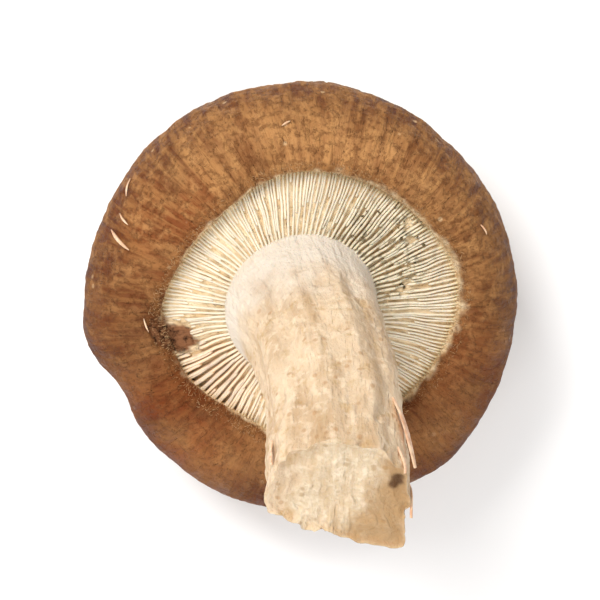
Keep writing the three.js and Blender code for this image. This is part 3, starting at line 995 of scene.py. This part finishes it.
def stem_piece(material):
    """The stem from inside the cap to its cut end, one closed skin."""
    azimuth = all_round(STEM_POINTS)
    share = np.linspace(STEM_START, 1, STEM_ROWS)[:, None] * np.ones_like(azimuth)
    plain = stem_point(share, azimuth)
    along = share * STEM_LENGTH
    skin = stack(*polar(STEM_WAIST_RADIUS, azimuth), along)
    fibres = streaks(skin, 0.7, 4, 71, 3)
    cords = streaks(skin, 2.4, 9, 73, 2)
    knobs = lumps(plain, 2.6, 75, 3)
    pits = smooth((lumps(plain, 2.0, 77, 2) - 0.25) / 0.35)
    away = smooth((share - 0.04) / 0.2)
    proud = 0.14 * fibres * (0.4 + 0.6 * away) + away * (0.3 * cords + 0.5 * knobs - 0.4 * pits)
    torn = smooth((share - 0.93) / 0.06) * (0.35 * streaks(skin, 1.1, 3, 79, 2) + 0.12)
    side = stem_point(share, azimuth, 1.0, proud + torn)
    ring = stack(*polar(9, azimuth), 0)
    upper = smooth(0.5 + np.sin(azimuth + 0.1))
    ragged = (0.25 + 0.4 * upper) * lumps(ring, 1.5, 83, 3) + 0.1 + 0.15 * upper
    onwards = side[-1] - side[-6]
    side[-1] += onwards / np.linalg.norm(onwards, axis=-1, keepdims=True) * ragged[:, None]

    insets = np.concatenate([[1.0, 0.985, 0.965, 0.94, 0.91], np.linspace(0.88, 0.04, CUT_RINGS)])[:, None]
    face = stem_point(np.ones_like(azimuth)[None], azimuth, insets)
    facing = normals_of(face)[20].mean(axis=0)
    facing /= np.linalg.norm(facing)
    drawn = stack(insets * np.cos(azimuth) * 9, 0, insets * np.sin(azimuth) * 9) * [1 / 1.1, 1, 1 / 4.5]
    dish = 0.6 * lumps(face, 4.5, 87, 3) + 0.45 * lumps(drawn, 1, 89, 3) - 0.5 * smooth((1 - insets) / 0.1)
    face = face + facing * dish[..., None]
    face[0] = side[-1] + 0.02 * (face[4] - side[-1])
    face[1] = blend(side[-1], face[2], 0.35)
    grid = np.concatenate([side, face])
    rows = len(grid)
    is_cut = np.zeros((rows, STEM_POINTS))
    is_cut[STEM_ROWS:] = 1
    is_cut[STEM_ROWS - 1] = 0.35
    is_cut[STEM_ROWS : STEM_ROWS + 2] = 0.75
    wrapped = np.concatenate([np.zeros((STEM_ROWS, 1)), insets]) * np.cos(azimuth - math.pi)[None]
    is_cut *= 1 - smooth((wrapped + 0.3 * lumps(grid, 2.2, 99, 3) - 0.52) / 0.16)

    across, down = polar(STEM_FOOT_RADIUS * insets, azimuth)
    skin = np.concatenate([skin, stack(across, 40, down)])
    root = np.zeros((rows, STEM_POINTS))
    low_side = 0.5 - 0.5 * np.sin(azimuth)
    away = (share - 0.02) / blend(0.34, 0.16, low_side) + 0.3 * lumps(plain, 3, 97, 2)
    root[:STEM_ROWS] = 0.9 * (1 - smooth(away))
    right = np.cos(azimuth + 0.35)[None]
    inset_all = np.concatenate([np.ones((STEM_ROWS, 1)), insets])
    patch = smooth((right * inset_all - 0.15 + 0.35 * lumps(grid, 2.5, 95, 2)) / 0.5) * is_cut
    streak = smooth((streaks(skin, 3, 12, 91, 2) - 0.15) / 0.5)
    ochre = np.clip(0.75 * patch + 0.5 * streak * (1 - is_cut) * (1 - root), 0, 0.85)
    x, y = polar(inset_all, azimuth)
    hole = bell((x - 0.8) / 0.12, (y - 0.28) / 0.16)
    damage = smooth(hole * (1.5 + lumps(grid, 0.9, 93, 2)) - 0.3) * is_cut

    ends = [plain[0].mean(axis=0), face[-1].mean(axis=0)]
    values = {"cut": is_cut, "ochre": ochre, "root": root, "damage": damage, "skin": skin}
    return closed_piece("stem", grid, ends, [1] * rows, values, material)


# Small torn bits


def sliver(spine, width, thickness, lift):
    """A tapered flake of skin along a spine of points in mm: closed, thickest in its middle."""
    t = np.linspace(0, 1, SLIVER_STEPS + 1)
    known = np.linspace(0, 1, len(spine))
    line = np.stack([np.interp(t, known, coordinate) for coordinate in np.transpose(spine)], axis=-1)
    line += np.outer(np.sin(t * math.pi), lift)
    run = np.gradient(line, axis=0)
    run /= np.linalg.norm(run, axis=1, keepdims=True)
    up = lift / np.linalg.norm(lift)
    across = np.cross(run, up)
    section = ((-1, 0), (-0.4, 1), (0.5, 0.8), (1, 0), (0, -0.6))
    points = []
    for i in range(SLIVER_STEPS + 1):
        half = max(0.03, width / 2 * math.sin(math.pi * (0.04 + 0.92 * t[i])) ** 0.7)
        points += [line[i] + across[i] * side * half + up * rise * thickness / 2 for side, rise in section]
    return np.array(points), tube_faces(SLIVER_STEPS, len(section))


def joined_slivers(name, slivers, material):
    points, faces = [], []
    for own_points, own_faces in slivers:
        faces += [tuple(len(points) + i for i in face) for face in own_faces]
        points += list(own_points)
    piece = make_piece(name, laid_down(np.array(points)), faces, {}, material)
    turn_outwards(piece)
    return piece


def turn_outwards(piece):
    """Makes every loose shell of a piece face out."""
    work = bmesh.new()
    work.from_mesh(piece.data)
    bmesh.ops.recalc_face_normals(work, faces=work.faces)
    work.to_mesh(piece.data)
    work.free()


def margin_slivers(material):
    """Torn skin on the margin: each (azimuth, share up it, length, width, degrees off level)."""
    made = []
    for azimuth, share, length, width, turned in (
        (160, 0.52, 4.8, 0.6, -38),
        (154, 0.46, 2.6, 0.35, -42),
        (146, 0.28, 2.8, 0.4, -85),
        (24, 0.62, 1.6, 0.3, -60),
        (96, 0.66, 1.4, 0.3, 30),
        (186, 1.0, 2.0, 0.25, -75),
    ):
        a, heading = math.radians(azimuth), math.radians(turned - azimuth)
        middle = margin_point(share, a)
        along = margin_point(share, a + 0.01) - middle
        climb = margin_point(share + 0.01, a) - middle
        up = np.cross(along, climb)
        up /= np.linalg.norm(up)
        steps = length * np.linspace(-0.5, 0.5, 7)
        angles = a + steps * math.sin(heading) * 0.01 / np.linalg.norm(along)
        shares = share - steps * math.cos(heading) * 0.01 / np.linalg.norm(climb)
        spine = [margin_point(s, angle) + up * 0.15 for s, angle in zip(shares, angles)]
        made.append(sliver(spine, width, 0.25, up * 0.2))
    return joined_slivers("margin_slivers", made, material)


def cut_edge_slivers(material):
    """Strips torn loose near the cut: each (azimuth, its turn, share at its end, length, width, lift)."""
    made = []
    for azimuth, turn, end, length, width, loose in (
        (42, -28, 0.95, 8.5, 2.2, 1.0),
        (-12, 0, 1.015, 4.5, 1.0, 0.15),
        (34, 0, 1.015, 3.5, 0.9, 0.2),
        (164, 0, 0.97, 5.0, 1.3, 0.3),
    ):
        a = math.radians(azimuth)
        shares = end - length / STEM_LENGTH * np.linspace(1, 0, 5)
        offs = 0.12 + loose * np.linspace(0, 1, 5) ** 2.2
        sway = a + 0.07 * np.sin(np.linspace(0, 3, 5) + azimuth) + math.radians(turn) * np.linspace(0, 1, 5)
        spine = [stem_point(s, w, 1.0, off) for s, w, off in zip(shares, sway, offs)]
        out = spine[2] - stem_point(shares[2], sway[2], 0.0)
        made.append(sliver(spine, width, 0.5, out / np.linalg.norm(out) * 0.15))
    return joined_slivers("cut_edge_slivers", made, material)


def scatter_tree():
    """Small bits scattered over a surface, each turned and sized at random."""
    inputs = {"Geometry": MESH, "Bit": "Object", "Bits per square metre": NUMBER, "Smallest": NUMBER}
    inputs.update({"Largest": NUMBER, "Lean": NUMBER, "Seed": WHOLE, "Material": "Material"})
    tree, given, result, identifiers = new_tree("Geometry", "scatter_bits", inputs, {"Geometry": MESH})
    seed = given["Seed"]
    surface = {"Mesh": given["Geometry"], "Density": given["Bits per square metre"], "Seed": seed}
    spread = add_node(tree, "GeometryNodeDistributePointsOnFaces", **surface).outputs
    bit = add_node(tree, "GeometryNodeObjectInfo", Object=given["Bit"]).outputs["Geometry"]
    limits = {"_2": given["Smallest"], "_3": given["Largest"], "Seed": seed}
    size = add_node(tree, "FunctionNodeRandomValue", {"data_type": "FLOAT"}, **limits)
    back, forth = times(given["Lean"], -1.0), given["Lean"]
    limits = {"_0": xyz(back, back, back), "_1": xyz(forth, forth, forth), "Seed": seed}
    tilt = add_node(tree, "FunctionNodeRandomValue", {"data_type": "FLOAT_VECTOR"}, **limits)
    turns = {"Rotation": spread["Rotation"], "Rotate_By": tilt.outputs[0]}
    turned = add_node(tree, "FunctionNodeRotateEuler", {"rotation_type": "EULER", "space": "LOCAL"}, **turns)
    placed = {"Points": spread["Points"], "Instance": bit}
    placed.update({"Rotation": turned.outputs[0], "Scale": size.outputs[1]})
    copies = add_node(tree, "GeometryNodeInstanceOnPoints", **placed).outputs[0]
    finish_copies(tree, result, copies, given["Material"])
    return tree, identifiers


def hair_bit():
    """A short curved hair, 1 mm long before it is sized, three-sided and closed."""
    points = []
    for i in range(4):
        t = i / 3
        half = 0.075 * (1 - 0.7 * t)
        x, y = 0.25 * t * t, 0.06 * math.sin(3 * t)
        for k in range(3):
            across, along = polar(half, TURN * k / 3)
            points.append((x + across, y + along, t))
    return np.array(points) * MM, tube_faces(3, 3)


def crumb_bit():
    """A rough crumb about 1 mm across before it is sized."""
    work = bmesh.new()
    bmesh.ops.create_icosphere(work, subdivisions=1, radius=0.5)
    for k, point in enumerate(work.verts):
        point.co *= 0.7 + 0.6 * chance(k + 700)
        point.co.z *= 0.6
    points = np.array([point.co[:] for point in work.verts]) * MM
    faces = [tuple(point.index for point in face.verts) for face in work.faces]
    work.free()
    return points, faces


def scattered(name, surface, bit, material, values, tree, identifiers):
    """Bits over a surface that is given as a grid of rings, in mm."""
    faces = ring_faces([1] * len(surface), surface.shape[1])
    patch = new_mesh(name, laid_down(surface.reshape(-1, 3)).tolist(), faces)
    shape = make_piece(name + "_bit", *bit, {}, material)
    mesh = grown_mesh(name, patch, tree, identifiers, {**values, "Bit": shape, "Material": material})
    bpy.data.objects.remove(shape)
    return smooth_piece(name, mesh)


def margin_wool(scatter):
    """The fringe of short hairs round the gills."""
    lip = lip_point(np.linspace(0.15, 1.05, 6)[:, None], all_round(WOOL_POINTS))
    amounts = {"Bits per square metre": 8e6, "Smallest": 0.25, "Largest": 0.65, "Lean": 0.9, "Seed": 5}
    return scattered("margin_wool", lip, hair_bit(), wool_material(), amounts, *scatter)


def crumbs(scatter):
    """Crumbs on the bruised patch of the gills."""
    x, y = polar(np.linspace(0.3, 6.5, 6)[:, None], all_round(CRUMB_POINTS))
    patch = stack(BRUISE_AT[0] + OPENING_OFFSET[0] + x, BRUISE_AT[1] + y, GILL_FACE_HEIGHT + 0.75)
    amounts = {"Bits per square metre": 3.0e5, "Smallest": 0.22, "Largest": 0.62, "Lean": 3.0, "Seed": 9}
    return scattered("crumbs", patch, crumb_bit(), crumb_material(), amounts, *scatter)


# Stage, in metres
FLOOR_HALF = 3.0
CAMERA_ELEVATION = math.radians(85)
CAMERA_DISTANCE = 0.75
CAMERA_FRAME = 0.082
CAMERA_TARGET = Vector((0.0, 0.0025, 0.022))
LIGHT_TARGET = Vector((0, 0, 0.025))


def add_floor():
    sides = (-1, -1), (1, -1), (1, 1), (-1, 1)
    corners = [(x * FLOOR_HALF, y * FLOOR_HALF, 0) for x, y in sides]
    mesh = new_mesh("floor", corners, [(0, 1, 2, 3)])
    material, _, shader = new_material("floor_white", 0.6)
    shader.inputs["Base Color"].default_value = srgb(244, 244, 245)
    mesh.materials.append(material)
    add_object("floor", mesh)


def add_light(name, place, size, power, colour=(1, 1, 1)):
    light = bpy.data.lights.new(name, "AREA")
    light.size = size
    light.energy = power
    light.color = colour
    lamp = add_object(name, light)
    lamp.location = place
    lamp.rotation_euler = (LIGHT_TARGET - Vector(place)).to_track_quat("-Z", "Y").to_euler()


def add_lights():
    add_light("key", (-0.35, 0.4, 0.7), 0.45, 7.5, (1.0, 0.98, 0.95))
    add_light("fill", (0.6, -0.1, 0.6), 0.7, 1.5)
    add_light("front", (-0.15, -0.6, 0.5), 0.6, 4.5)
    world = bpy.data.worlds.new("studio")
    world.use_nodes = True
    sky = world.node_tree.nodes["Background"].inputs
    sky["Color"].default_value = (1.0, 0.99, 0.97, 1)
    sky["Strength"].default_value = 0.45
    bpy.context.scene.world = world
    bpy.context.scene.view_settings.view_transform = "Standard"


def add_camera():
    """Looks down on the gills from the azimuth and elevation that show the cap as the photo does."""
    back = Vector((0, -math.cos(CAMERA_ELEVATION), math.sin(CAMERA_ELEVATION)))
    camera = bpy.data.cameras.new("camera")
    camera.lens = camera.sensor_width * CAMERA_DISTANCE / CAMERA_FRAME
    camera.clip_start, camera.clip_end = 0.05, 10
    eye = add_object("camera", camera)
    eye.location = CAMERA_TARGET + back * CAMERA_DISTANCE
    eye.rotation_euler = (-back).to_track_quat("-Z", "Y").to_euler()
    bpy.context.scene.camera = eye


def add_mushroom():
    torn = torn_skin_material()
    scatter = scatter_tree()
    pieces = [
        cap_piece(cap_skin_material()),
        gills_piece(gill_material()),
        stem_piece(stem_material()),
        margin_slivers(torn),
        cut_edge_slivers(torn),
        margin_wool(scatter),
        crumbs(scatter),
    ]
    for piece in pieces:
        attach(piece, "root")
        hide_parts("shiitake")


add_camera()
add_lights()
add_floor()
add_mushroom()
